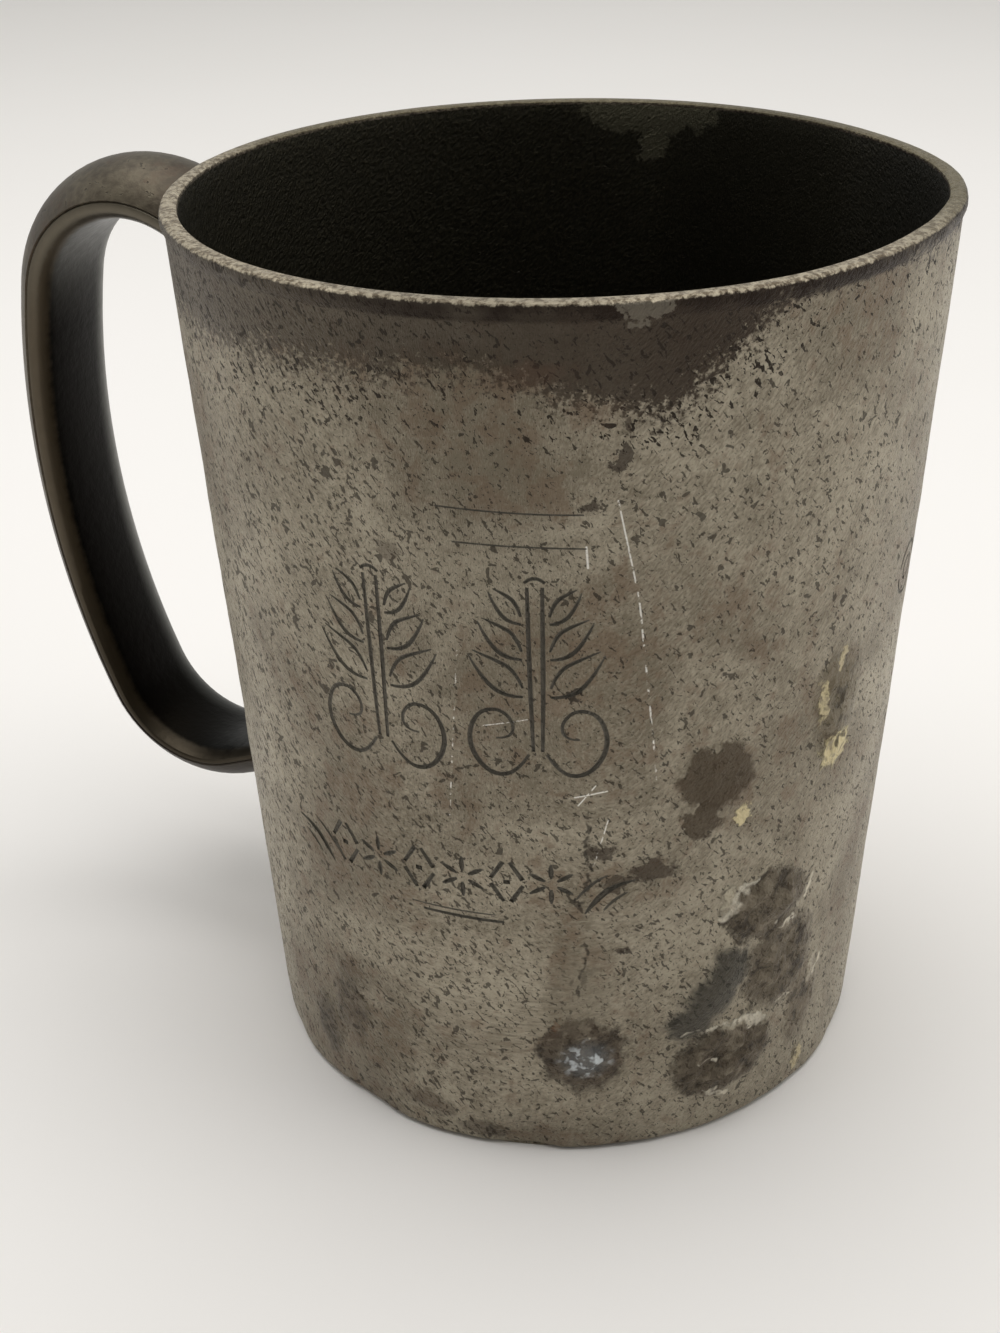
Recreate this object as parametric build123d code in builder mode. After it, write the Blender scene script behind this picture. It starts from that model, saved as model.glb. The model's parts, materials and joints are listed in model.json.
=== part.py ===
import os
from math import atan, cos, degrees, radians, sin, sqrt

from build123d import *

# A lidless one-pint pewter measure: a tapered drum, a disc wedged and soldered in its foot,
# and a hollow handle of two cast halves, soldered to the wall at both ends.
# Millimetres. The origin is the centre of the foot ring, +Z runs up the drum's axis,
# and the handle stands on the -X side.

# Drum
drum_height = 113.0
mouth_radius = 46.0          # outside of the lip
foot_radius = 40.2           # outside of the wall, carried down to the standing plane
mouth_wall = 1.9             # wall thickness, which grows from the mouth to the foot
foot_wall = 2.4
lip_overhang = 0.35          # how far the lip stands proud of the wall below it
lip_depth = 1.2              # height of the lip's upright edge
lip_slope = 0.8              # height over which its underside runs back to the wall
lip_bevel = 0.4              # worn edges of the mouth, outside and inside
lip_inner_bevel = 0.25
foot_bevel = 0.8             # worn outer edge of the foot

# Base disc, dropped in from the mouth until the taper holds it
floor_recess = 2.8           # from the standing plane up to the disc's flat border
floor_thickness = 1.9
floor_border = 6.0           # width of the flat border outside the raised centre
floor_rise = 1.3             # height by which the centre is raised
floor_rise_run = 2.0         # width of the slope up to it
floor_solder_leg = 1.1       # solder run into the corner below the disc

# Handle: the outer half is a domed channel, the inner half a strip that closes it on the
# finger side and thins towards the foot. The line where they meet is the seam.
handle_width = 15.5
dome_height = 4.5            # from the seam to the crown of the outer half
handle_wall = 1.5            # metal of the outer half round its channel
channel_side_angle = 45
strip_top_thickness = 3.4    # the inner half at its upper and lower ends
strip_foot_thickness = 1.6
strip_bevel_run = 1.9        # width of the bevel along the strip's finger-side edges
strip_bevel_share = 0.62     # share of the strip's thickness that the bevel takes
handle_groove = 0.22         # the crease left where the halves meet
seam_drop = 10.8             # from the mouth down to where the seam leaves the wall
seam_rise_angle = 24.5       # degrees above level at which it leaves the wall
top_length = 7.6             # straight stretch from the wall to the shoulder bend
shoulder_radius = 16.9
shoulder_angle = 102.1
back_length = 63.2           # the long gentle bow down the back
back_angle = 35.0
heel_radius = 14.1
heel_angle = 89.8
handle_solder_leg = 1.3      # solder run up the handle and along the wall
handle_solder_edge = 0.15    # thickness of that solder where it thins out
trim_length = 7.0            # how far an end is carried into the wall before it is trimmed

wall_slope = (mouth_radius - lip_overhang - foot_radius) / drum_height
wall_lean = degrees(atan(wall_slope))


def outer_radius(height):
    return foot_radius + wall_slope * height


def inner_radius(height):
    wall = foot_wall + (mouth_wall - foot_wall) * height / drum_height
    return outer_radius(height) - wall


lip_foot = drum_height - lip_depth - lip_slope
outer_outline = [
    (outer_radius(0), 0),
    (outer_radius(lip_foot), lip_foot),
    (mouth_radius, drum_height - lip_depth),
    (mouth_radius, drum_height),
]


def rings(part, level):
    # the round edges at the lowest (0) or highest (-1) level, the smallest first
    return part.edges().filter_by(GeomType.CIRCLE).group_by(Axis.Z)[level].sort_by(SortBy.RADIUS)


# The drum: one turned casting, open at both ends.
with BuildPart() as drum:
    with BuildSketch(Plane.XZ):
        with BuildLine():
            Polyline(
                (inner_radius(0), 0),
                *outer_outline,
                (inner_radius(drum_height), drum_height),
                close=True,
            )
        make_face()
    revolve(axis=Axis.Z)
    chamfer(rings(drum, -1)[-1], length=lip_bevel)
    chamfer(rings(drum, -1)[0], length=lip_inner_bevel)
    chamfer(rings(drum, 0)[-1], length=foot_bevel)

# The drum filled solid, which trims what is soldered to the outside of its wall.
with BuildPart() as drum_block:
    with BuildSketch(Plane.XZ):
        with BuildLine():
            Polyline((0, 0), *outer_outline, (0, drum_height), close=True)
        make_face()
    revolve(axis=Axis.Z)

# The floor of the measure: a flat border and a raised centre, its edge tapered to the wall.
floor_top = floor_recess + floor_thickness
slope_radius = inner_radius(floor_recess) - floor_border
centre_radius = slope_radius - floor_rise_run
with BuildPart() as base_disc:
    with BuildSketch(Plane.XZ):
        with BuildLine():
            Polyline(
                (0, floor_recess + floor_rise),
                (centre_radius, floor_recess + floor_rise),
                (slope_radius, floor_recess),
                (inner_radius(floor_recess), floor_recess),
                (inner_radius(floor_top), floor_top),
                (slope_radius, floor_top),
                (centre_radius, floor_top + floor_rise),
                (0, floor_top + floor_rise),
                close=True,
            )
        make_face()
    revolve(axis=Axis.Z)

# Solder in the corner between the disc's underside and the wall.
seam_foot = floor_recess - floor_solder_leg
with BuildPart() as base_solder_seam:
    with BuildSketch(Plane.XZ):
        with BuildLine():
            Polyline(
                (inner_radius(seam_foot), seam_foot),
                (inner_radius(floor_recess), floor_recess),
                (inner_radius(floor_recess) - floor_solder_leg, floor_recess),
                close=True,
            )
        make_face()
    revolve(axis=Axis.Z)


def wall_point(height):
    return Vector(-outer_radius(height), 0, height)


def run_to_wall(start, heading):
    # distance from a point beside the handle's foot to the wall, along a heading
    gap = -start.X - outer_radius(start.Z)
    return gap / (heading.X + wall_slope * heading.Z)


# The seam between the handle's halves: straight off the wall, round the shoulder,
# down the bowed back, round the heel and straight into the wall again.
handle_root = wall_point(drum_height - seam_drop)
root_heading = Vector(-cos(radians(seam_rise_angle)), 0, sin(radians(seam_rise_angle)))
seam_start = handle_root - root_heading * trim_length
with BuildLine(Plane.XZ) as seam:
    top = PolarLine((seam_start.X, seam_start.Z), trim_length + top_length, 180 - seam_rise_angle)
    shoulder = JernArc(top @ 1, top % 1, shoulder_radius, shoulder_angle)
    back = JernArc(shoulder @ 1, shoulder % 1, back_length / radians(back_angle), back_angle)
    heel = JernArc(back @ 1, back % 1, heel_radius, heel_angle)
    heel_end = heel @ 1
    foot_heading = heel % 1
    foot_run = run_to_wall(heel_end, foot_heading)
    PolarLine((heel_end.X, heel_end.Z), foot_run + trim_length, direction=(foot_heading.X, foot_heading.Z))
seam_path = seam.wires()[0]
handle_foot = heel_end + foot_heading * foot_run


def section_plane(place):
    # across the seam, with its own +Y towards the back of the hand
    return Plane(origin=seam_path @ place, x_dir=(0, -1, 0), z_dir=seam_path % place)


half_width = handle_width / 2

# The outer half: a domed channel, open towards the inner half.
with BuildPart() as handle_outer_half:
    with BuildSketch(section_plane(0)):
        with BuildLine():
            Polyline(
                (-half_width, handle_groove),
                (handle_groove - half_width, 0),
                (half_width - handle_groove, 0),
                (half_width, handle_groove),
            )
            ThreePointArc((half_width, handle_groove), (0, dome_height), (-half_width, handle_groove))
        make_face()
        Trapezoid(
            width=handle_width - 2 * handle_wall,
            height=dome_height - handle_wall,
            left_side_angle=channel_side_angle,
            align=(Align.CENTER, Align.MIN),
            mode=Mode.SUBTRACT,
        )
    sweep(path=seam_path)
    add(drum_block.part, mode=Mode.SUBTRACT)


def strip_section(place, thickness):
    # a flat strip with its two finger-side edges bevelled
    bevel_top = thickness * (strip_bevel_share - 1)
    with BuildSketch(section_plane(place)) as section:
        with BuildLine():
            Polyline(
                (-half_width, 0),
                (-half_width, bevel_top),
                (strip_bevel_run - half_width, -thickness),
                (half_width - strip_bevel_run, -thickness),
                (half_width, bevel_top),
                (half_width, 0),
                close=True,
            )
        make_face()
    return section.sketch


# The inner half, which closes the channel on the finger side.
with BuildPart() as handle_inner_half:
    sweep(
        sections=[
            strip_section(0, strip_top_thickness),
            strip_section(1, strip_foot_thickness),
        ],
        path=seam_path,
        multisection=True,
    )
    add(drum_block.part, mode=Mode.SUBTRACT)

# The whole handle without its channel, which trims the solder at its ends.
with BuildPart() as handle_block:
    with BuildSketch(section_plane(0)):
        with BuildLine():
            Polyline(
                (-half_width, handle_groove), (-half_width, 0), (half_width, 0), (half_width, handle_groove)
            )
            ThreePointArc((half_width, handle_groove), (0, dome_height), (-half_width, handle_groove))
        make_face()
    sweep(path=seam_path)
    add(handle_inner_half.part)

wall_normal = Vector(-cos(radians(wall_lean)), 0, -sin(radians(wall_lean)))


def collar_sections(seat, outward, across, strip_thickness):
    # outlines of the handle as cut along the wall, from behind the wall's curved face, where
    # the solder is widest, to where it thins out
    squareness = outward.dot(wall_normal)
    reach = half_width + handle_solder_leg
    wall_radius = outer_radius(seat.Z)
    sink = wall_radius - sqrt(wall_radius**2 - reach**2) + handle_solder_leg
    sections = []
    for distance in (-sink, handle_solder_leg):
        grow = handle_solder_leg - distance + handle_solder_edge
        side = half_width + grow
        crown = dome_height / squareness + grow
        finger_side = -strip_thickness / squareness - grow
        bevel_top = finger_side * (1 - strip_bevel_share)
        plane = Plane(origin=seat + outward * (distance / squareness), x_dir=across, z_dir=wall_normal)
        with BuildSketch(plane) as section:
            with BuildLine():
                Polyline(
                    (-side, 0),
                    (-side, bevel_top),
                    (strip_bevel_run - side, finger_side),
                    (side - strip_bevel_run, finger_side),
                    (side, bevel_top),
                    (side, 0),
                )
                ThreePointArc((side, 0), (0, crown), (-side, 0))
            make_face()
        sections.append(section.sketch)
    return sections


# Solder round the handle's upper end.
with BuildPart() as handle_top_solder:
    loft(sections=collar_sections(handle_root, root_heading, (0, -1, 0), strip_top_thickness))
    add(handle_block.part, mode=Mode.SUBTRACT)
    add(drum_block.part, mode=Mode.SUBTRACT)

# Solder round the handle's lower end, where the domed side faces down.
with BuildPart() as handle_foot_solder:
    loft(sections=collar_sections(handle_foot, -foot_heading, (0, 1, 0), strip_foot_thickness))
    add(handle_block.part, mode=Mode.SUBTRACT)
    add(drum_block.part, mode=Mode.SUBTRACT)

pieces = {
    "drum": drum,
    "base_disc": base_disc,
    "base_solder_seam": base_solder_seam,
    "handle_outer_half": handle_outer_half,
    "handle_inner_half": handle_inner_half,
    "handle_top_solder": handle_top_solder,
    "handle_foot_solder": handle_foot_solder,
}
os.makedirs("parts", exist_ok=True)
for name, piece in pieces.items():
    piece.part.label = name
    export_step(piece.part, f"parts/{name}.step")

mouth_area = inner_radius(drum_height) ** 2
floor_area = inner_radius(floor_top) ** 2
middle_area = inner_radius(drum_height) * inner_radius(floor_top)
full = radians(180) * (drum_height - floor_top) * (mouth_area + middle_area + floor_area) / 3
raised = radians(180) * floor_rise * centre_radius**2
print("holds to the brim, millilitres:", round((full - raised) / 1000, 1))
print("handle meets the wall at height:", round(handle_foot.Z, 2))
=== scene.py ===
import json
from functools import partial
from math import asin, atan2, cos, degrees, pi, radians, sin, sqrt, tan

import bpy
from mathutils import Matrix, Vector

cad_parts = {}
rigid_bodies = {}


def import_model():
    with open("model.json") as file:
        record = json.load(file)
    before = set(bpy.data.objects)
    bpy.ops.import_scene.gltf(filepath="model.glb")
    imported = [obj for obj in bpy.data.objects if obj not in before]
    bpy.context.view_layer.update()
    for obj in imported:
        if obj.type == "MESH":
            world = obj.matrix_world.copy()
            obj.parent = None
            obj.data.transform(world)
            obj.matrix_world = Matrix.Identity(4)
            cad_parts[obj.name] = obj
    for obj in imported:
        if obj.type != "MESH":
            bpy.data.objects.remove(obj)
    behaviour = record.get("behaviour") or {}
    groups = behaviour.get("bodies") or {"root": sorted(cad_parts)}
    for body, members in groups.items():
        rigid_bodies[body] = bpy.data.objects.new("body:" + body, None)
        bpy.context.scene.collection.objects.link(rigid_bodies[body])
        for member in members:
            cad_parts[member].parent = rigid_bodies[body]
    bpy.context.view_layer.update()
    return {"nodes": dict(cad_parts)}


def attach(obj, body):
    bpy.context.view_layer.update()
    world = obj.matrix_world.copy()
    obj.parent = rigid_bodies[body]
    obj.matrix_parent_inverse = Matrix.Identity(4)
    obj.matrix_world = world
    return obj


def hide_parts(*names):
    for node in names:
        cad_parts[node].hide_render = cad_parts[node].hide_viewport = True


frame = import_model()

mm = 0.001                      # the places below are in millimetres, the scene in metres
hair = 0.001 * mm               # two points as near as this are one place
scene = bpy.context.scene
scene.view_settings.view_transform = "Standard"


def deselectAll():
    if bpy.context.mode != "OBJECT":
        bpy.ops.object.mode_set(mode="OBJECT")
    for other in scene.objects:
        other.select_set(False)


def makeActive(piece):
    deselectAll()
    piece.select_set(True)
    bpy.context.view_layer.objects.active = piece


def inEdit(piece, *steps):
    makeActive(piece)
    bpy.ops.object.mode_set(mode="EDIT")
    for step in steps:
        step()
    bpy.ops.object.mode_set(mode="OBJECT")


def closeSeams():
    bpy.ops.mesh.select_all(action="SELECT")
    bpy.ops.mesh.remove_doubles(threshold=2 * hair)
    bpy.ops.mesh.normals_make_consistent(inside=False)


def applyModifiers(piece):
    makeActive(piece)
    for modifier in list(piece.modifiers):
        bpy.ops.object.modifier_apply(modifier=modifier.name)


def finishPiece(piece, name, slotName, *nodes):
    makeActive(piece)
    bpy.ops.object.transform_apply(location=True, rotation=True, scale=True)
    piece.name = piece.data.name = name
    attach(piece, "root")
    if nodes:
        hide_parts(*nodes)
    return piece


# The camera stands where the photograph was taken from.
cameraValues = {
    "place": (88.8, -190.5, 166.3),
    "heading": 27.25,           # degrees that its right-hand side is turned from +X
    "downTilt": 29.26,
    "roll": -1.67,
    "lens": 48.61,
    "nearest": 10.0,            # what is nearer to it isn't drawn
}


def placeCamera(values):
    made = bpy.data.objects.new("photoCamera", bpy.data.cameras.new("photoCamera"))
    scene.collection.objects.link(made)
    turn = Matrix.Rotation(radians(values["heading"]), 4, "Z")
    tilt = Matrix.Rotation(radians(90 - values["downTilt"]), 4, "X")
    roll = Matrix.Rotation(radians(values["roll"]), 4, "Z")
    made.matrix_world = Matrix.Translation(Vector(values["place"]) * mm) @ turn @ tilt @ roll
    made.data.lens = values["lens"]
    made.data.clip_start = values["nearest"] * mm
    scene.camera = made


placeCamera(cameraValues)


def seen(red, green, blue):
    # a colour as an eye reads it, 0 to 255, to the shader's linear light
    linear = []
    for level in (red, green, blue):
        level /= 255
        linear.append(level / 12.92 if level < 0.04045 else ((level + 0.055) / 1.055) ** 2.4)
    return (*linear, 1)


def feed(value, socket):
    # links a socket or a node, and sets anything else, a colour as it is seen
    if isinstance(value, bpy.types.Node):
        value = next(s for s in value.outputs if s.enabled)
    if isinstance(value, bpy.types.NodeSocket):
        socket.id_data.links.new(value, socket)
    else:
        socket.default_value = seen(*value) if socket.type == "RGBA" else value


def treeOf(*values):
    # the node tree of the first value that is linked rather than set
    return next(value.id_data for value in values if isinstance(value, (bpy.types.Node, bpy.types.NodeSocket)))


def put(tree, kind, *values, **settings):
    # a node with its settings, and its visible inputs fed in their order; a dictionary feeds by name
    made = tree.nodes.new("ShaderNode" + kind)
    for name, value in settings.items():
        setattr(made, name, value)
    sockets = [s for s in made.inputs if s.enabled]
    for place, value in enumerate(values):
        if isinstance(value, dict):
            for name, given in value.items():
                feed(given, made.inputs[name])
        else:
            feed(value, sockets[place])
    return made


def sums(operation, *values, clamp=False):
    return put(treeOf(*values), "Math", *values, operation=operation, use_clamp=clamp).outputs[0]


def chained(operation, result, *others):
    for value in others:
        result = sums(operation, result, value)
    return result


times = partial(chained, "MULTIPLY")
total = partial(chained, "ADD")
strongest = partial(chained, "MAXIMUM")


def centred(value, size=1.0):
    # a noise from 0 to 1 turned into one about zero
    return times(sums("SUBTRACT", value, 0.5), size)


def weighted(shares, **parts):
    # the sum of the parts that have a share, each by it
    return total(*(times(parts[name], share) for name, share in shares.items()))


def vectors(operation, *values):
    return put(treeOf(*values), "VectorMath", *values, operation=operation)


def fade(value, start, end, low=0.0, high=1.0):
    # goes smoothly from low to high as the value goes from start to end
    given = {"Value": value, "From Min": start, "From Max": end, "To Min": low, "To Max": high}
    return put(treeOf(value), "MapRange", given, interpolation_type="SMOOTHSTEP").outputs[0]


def paint(under, over, *masks):
    # lays a colour over another as far as the masks, taken together, let it
    made = put(treeOf(*masks), "Mix", data_type="RGBA")
    for given, place in ((times(*masks), 0), (under, 6), (over, 7)):
        feed(given, made.inputs[place])
    return made.outputs[2]


def layered(colour, values, **layers):
    # lays the named colours over one another, each by its masks and its own strength
    for name, masks in layers.items():
        over, strength = values[name]
        colour = paint(colour, over, *masks, strength)
    return colour


def noise(place, scale, detail=3.0, rough=0.55, warp=0.0):
    # the scale is the number of its waves in a millimetre
    given = {"Vector": place, "Scale": scale, "Detail": detail, "Roughness": rough, "Distortion": warp}
    return put(treeOf(place), "TexNoise", given).outputs[0]


def shaderGroup(name, outputs, **inputs):
    # four numbers make a colour, in linear light, and three numbers or none a vector
    tree = bpy.data.node_groups.new(name, "ShaderNodeTree")
    for label, value in inputs.items():
        kind = "Float" if isinstance(value, float) else "Color" if value and len(value) == 4 else "Vector"
        socket = tree.interface.new_socket(label, in_out="INPUT", socket_type="NodeSocket" + kind)
        if value is not None:
            socket.default_value = value
    for label, kind in outputs.items():
        tree.interface.new_socket(label, in_out="OUTPUT", socket_type="NodeSocket" + kind)
    return tree, tree.nodes.new("NodeGroupInput").outputs, tree.nodes.new("NodeGroupOutput").inputs


def useGroup(group, **values):
    made = treeOf(*values.values()).nodes.new("ShaderNodeGroup")
    made.node_tree = group
    for name, value in values.items():
        feed(value, made.inputs[name])
    return made.outputs


effectValues = {
    "pitNoise": dict(detail=2, rough=0.6, warp=0.4),
    "scratchCore": 0.3,         # share of its width over which a scratch is full
    "gapSoft": 0.06,
    "clouds": (0.05, 3, 0.6, 0.6),
    "mottle": (0.34, 3, 0.7, 0.3),
    "grainShare": 0.55,
    "paleFade": (0.3, 0.7),
    "rustClouds": 0.7,          # what the clouds take from the warm spots
    "rustFade": (0.16, 0.36, 0, 0.6),
}


def makePits(values):
    # ragged pits where a noise rises above a level
    tree, given, out = shaderGroup("pits", {"Mask": "Float"}, Place=None, PerMm=1.0, Level=0.62, Soft=0.05)
    rise = noise(given["Place"], given["PerMm"], **values["pitNoise"])
    feed(fade(rise, given["Level"], total(given["Level"], given["Soft"])), out["Mask"])
    return tree


def makeSpot():
    # a round mark about a point, with a soft edge that Fray breaks up
    tree, given, out = shaderGroup("spot", {"Mask": "Float"}, Place=None, Centre=(0, 0, 0), Stretch=(1, 1, 1),
                                   Radius=1.0, Soft=0.3, Fray=0.0)
    away = vectors("DIVIDE", vectors("SUBTRACT", given["Place"], given["Centre"]), given["Stretch"])
    far = total(vectors("LENGTH", away).outputs["Value"], given["Fray"])
    inner = times(given["Radius"], sums("SUBTRACT", 1.0, given["Soft"]))
    feed(fade(far, given["Radius"], inner), out["Mask"])
    return tree


def makeScratch(values):
    # a fine line from one point to another, broken where Gaps falls below Broken
    tree, given, out = shaderGroup("scratch", {"Mask": "Float"}, Place=None, From=(0, 0, 0), To=(0, 0, 1),
                                   Width=0.2, Broken=0.5, Gaps=1.0)
    run = vectors("SUBTRACT", given["To"], given["From"])
    gone = vectors("SUBTRACT", given["Place"], given["From"])
    ahead = vectors("DOT_PRODUCT", gone, run).outputs["Value"]
    full = vectors("DOT_PRODUCT", run, run).outputs["Value"]
    share = sums("DIVIDE", ahead, full, clamp=True)
    far = vectors("DISTANCE", gone, vectors("SCALE", run, {"Scale": share})).outputs["Value"]
    line = fade(far, given["Width"], times(given["Width"], values["scratchCore"]))
    gaps = fade(given["Gaps"], given["Broken"], total(given["Broken"], values["gapSoft"]))
    feed(times(line, gaps), out["Mask"])
    return tree


def makeSkin(values):
    # the colour of old pewter: broad clouds, small mottling, and its grain darker in the hollows and paler on
    # the rises, partly dirt and wear, partly painted shade and painted highlight
    tree, given, out = shaderGroup(
        "oldPewterSkin", {"Color": "Color", "Clouds": "Float"}, Place=None, Pale=seen(140, 132, 116),
        Dark=seen(96, 88, 73), Warm=seen(108, 88, 68), Mottle=0.5, Grain=0.5,
    )
    clouds = noise(given["Place"], *values["clouds"])
    mottle = noise(given["Place"], *values["mottle"])
    mixed = put(tree, "Mix", {"Factor": given["Mottle"], "A": clouds, "B": mottle}, data_type="FLOAT")
    level = total(mixed.outputs[0], centred(given["Grain"], values["grainShare"]))
    colour = paint(given["Dark"], given["Pale"], fade(level, *values["paleFade"]))
    rust = fade(sums("SUBTRACT", mottle, times(clouds, values["rustClouds"])), *values["rustFade"])
    feed(paint(colour, given["Warm"], rust), out["Color"])
    feed(clouds, out["Clouds"])
    return tree


pitsGroup = makePits(effectValues)
spotGroup = makeSpot()
scratchGroup = makeScratch(effectValues)
skinGroup = makeSkin(effectValues)
print("shared surface effects built:", len(bpy.data.node_groups))


def newMaterial(name):
    made = bpy.data.materials.new(name)
    made.use_nodes = True
    tree = made.node_tree
    shader = next(n for n in tree.nodes if n.type == "BSDF_PRINCIPLED")
    place = vectors("SCALE", put(tree, "TexCoord").outputs["Object"], {"Scale": 1 / mm}).outputs[0]
    return made, tree, shader, place


def finishShader(shader, values, colour, **parts):
    # the roughness and the relief, a height in millimetres, are sums of the parts
    rough = sums("ADD", weighted(values["rough"], **parts), values["leastRough"], clamp=True)
    relief = {"Strength": 1.0, "Distance": mm, "Height": weighted(values["relief"], **parts)}
    bump = put(shader.id_data, "Bump", relief)
    given = {"Base Color": colour, "Metallic": values["metallic"], "Roughness": rough, "Normal": bump}
    for name, value in given.items():
        feed(value, shader.inputs[name])


def pitMask(place, perMm, level, soft, strength=1.0, crowd=None):
    level = total(crowd, level) if crowd else level
    return times(useGroup(pitsGroup, Place=place, PerMm=perMm, Level=level, Soft=soft)["Mask"], strength)


# The wall in the round: the outside grows from the foot to the mouth.
wallValues = {"footRadius": 40.2, "slope": 0.04823, "middleRadius": 43.0, "height": 113.0}


def wallRadius(height):
    return wallValues["footRadius"] + wallValues["slope"] * height


def onWall(angle, height):
    radius = wallRadius(height)
    return Vector((radius * cos(radians(angle)), radius * sin(radians(angle)), height)) * mm


def unrolled(angle, height):
    # the same place on the flattened wall, in millimetres
    return (radians(angle) * wallValues["middleRadius"], height, 0.0)


def drawOutline(name, places):
    # a closed outline of edges through places given in millimetres, drawn point by point
    bpy.ops.mesh.primitive_plane_add(size=1)
    piece = bpy.context.object
    piece.name = name
    places = [Vector(place) * mm for place in places]
    bpy.ops.object.mode_set(mode="EDIT")
    bpy.ops.mesh.select_mode(type="VERT")
    bpy.ops.mesh.select_all(action="SELECT")
    bpy.ops.mesh.merge(type="CENTER")
    bpy.ops.transform.translate(value=places[0])
    for here, there in zip(places, places[1:]):
        bpy.ops.mesh.extrude_region_move(TRANSFORM_OT_translate={"value": there - here})
    bpy.ops.object.mode_set(mode="OBJECT")
    for vert in piece.data.vertices:        # the two ends are joined
        vert.select = min((vert.co - places[end]).length for end in (0, -1)) < hair
    inEdit(piece, bpy.ops.mesh.edge_face_add)
    return piece


def cutEdges(piece, cuts, test):
    # subdivides the edges whose two ends pass the test
    for item in (*piece.data.vertices, *piece.data.edges, *piece.data.polygons):
        item.select = False
    for edge in piece.data.edges:
        edge.select = test(*(piece.data.vertices[i].co / mm for i in edge.vertices))
    inEdit(
        piece,
        lambda: bpy.ops.mesh.select_mode(type="EDGE"),
        lambda: bpy.ops.mesh.subdivide(number_cuts=cuts),
    )


drumValues = {
    # half of the drum cut through, from the inner foot round to the inner lip
    "outline": [
        (37.9, 0), (39.1, 0), (39.85, 0.25), (40.24, 0.8), (45.5, 110.8), (45.9, 111.5), (45.98, 112),
        (45.96, 112.55), (45.78, 112.88), (45.4, 113), (44.3, 113), (43.9, 112.86), (43.78, 112.5),
        (37.95, 0.3),
    ],
    "longEdge": 90,             # only the two sides of the wall are longer
    "middle": 41.5,             # between the outer side's mean radius and the inner side's
    "outerCuts": 138,
    "innerCuts": 50,
    "steps": 360,
    "insideLevels": (0.3, 112.6),       # the faces between them that look at the axis are the inside
    "smoothUnder": 38,          # degrees
}


def turnDrum(values):
    piece = drawOutline("drum", [(across, 0, up) for across, up in values["outline"]])

    def isSide(a, b, outer):
        return abs(a.z - b.z) > values["longEdge"] and (a.x + b.x > 2 * values["middle"]) == outer

    cutEdges(piece, values["outerCuts"], lambda a, b: isSide(a, b, True))
    cutEdges(piece, values["innerCuts"], lambda a, b: isSide(a, b, False))
    turning = piece.modifiers.new("turning", "SCREW")
    turning.angle = 2 * pi
    turning.steps = turning.render_steps = values["steps"]
    turning.use_merge_vertices = True
    turning.merge_threshold = hair
    applyModifiers(piece)
    inEdit(piece, closeSeams)
    return piece


drum = turnDrum(drumValues)
print("drum turned:", len(drum.data.vertices), "points")


# What age has done to the wall: lumps of corrosion and dents. Each has its middle (degrees round, millimetres
# up), its half sizes across and up, its lean, its height, the size of its noise, and how rough it is.
lumpValues = {
    "roundBlister": (-62, 16.7, 5.6, 6, 0, 1.2, 2.6, 0.6),
    "slateBump": (-39.9, 23.2, 5, 9, -34, 1.5, 6, 0.1),
    "brownBlister": (-36, 11.8, 9, 7, 12, 1.5, 3, 0.8),
    "upperBlister": (-29.2, 34.3, 7.6, 5.8, 0, 1.5, 3.4, 0.75),
    "brownRise": (-24.6, 23.7, 6.5, 8, 0, 0.7, 2.6, 0.9),
    "yellowCrust": (-17.8, 57.6, 3.8, 9, 0, 0.9, 2.4, 0.9),
    "brownPatch": (-41, 54.6, 5.4, 6.6, 0, 0.35, 2.2, 0.9),
    "farLump": (58, 30, 6, 5, 10, 0.7, 3, 0.8),
    "lowLump": (138, 15, 7, 4.6, -10, 0.8, 2.8, 0.9),
    "rearDent": (104, 44, 13, 10, 0, -0.9, 10, 0.1),
}
# The mouth has been knocked out of round: where and how far round (degrees), how far down, and how far in.
mouthValues = {
    "frontPush": (-68, 58, 34, 0.8),
    "rightPush": (-13, 20, 12, 0.4),
    "rightNotch": (6, 7, 7, 0.2),
    "rightBulge": (24, 30, 124, -0.85),
    "backPush": (118, 26, 20, 0.25),
    "rearDent": (162, 12, 10, 0.3),
}
# The foot is knocked in at two places.
footValues = {
    "leftKnock": (-105, 9, 7, 0.45),
    "frontKnock": (-72.5, 7, 6, 0.8),
}


def weigh(piece, name, share):
    # a vertex group with the share, 0 to 1, that a function gives for each point's turn, radius and height
    group = piece.vertex_groups.new(name=name)
    for vert in piece.data.vertices:
        weight = share(degrees(atan2(vert.co.y, vert.co.x)), vert.co.xy.length / mm, vert.co.z / mm)
        if weight > 0.001:
            group.add([vert.index], min(weight, 1.0), "REPLACE")


def push(piece, name, height, direction="NORMAL", grain=None, depth=2, middle=0.5):
    # moves the group's points, evenly or by a noise whose middle stays where it is
    made = piece.modifiers.new(name, "DISPLACE")
    made.vertex_group = name
    made.strength = height * mm
    made.direction = direction
    made.mid_level = middle if grain else 0.0
    if grain:
        made.texture = bpy.data.textures.new(name, "CLOUDS")
        made.texture.noise_scale = grain * mm
        made.texture.noise_depth = depth
        made.texture_coords = "LOCAL"


def easeOff(distance):
    return (1.0 - distance * distance) ** 1.5 if abs(distance) < 1 else 0.0


def turnBetween(a, b):
    return (a - b + 180) % 360 - 180


# Waves of the wall, nicks of the lip and dents of the foot: height and size of the noise in millimetres.
wearValues = {
    "skinDepth": 0.9,           # points nearer than this to the wall's outside belong to it
    "smoothLoss": 0.6,          # what a lump's roughness takes from its smooth height
    "roughGain": 3.2,           # and what it gives to its noise
    "waves": (55, 56, 0.4),     # middle level, reach, and how steeply they end
    "broadWaves": dict(height=0.4, grain=20),
    "smallWaves": dict(height=0.12, grain=3.5),
    "lipFrom": (45.2, 111, 112.95),     # radius, lowest and highest level
    "lipNicks": dict(height=0.32, grain=8, depth=4, middle=0.72),
    "footFrom": (39.5, 5),      # radius and highest level
    "footDents": dict(height=-0.8, grain=9, middle=0.36),
}


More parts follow.
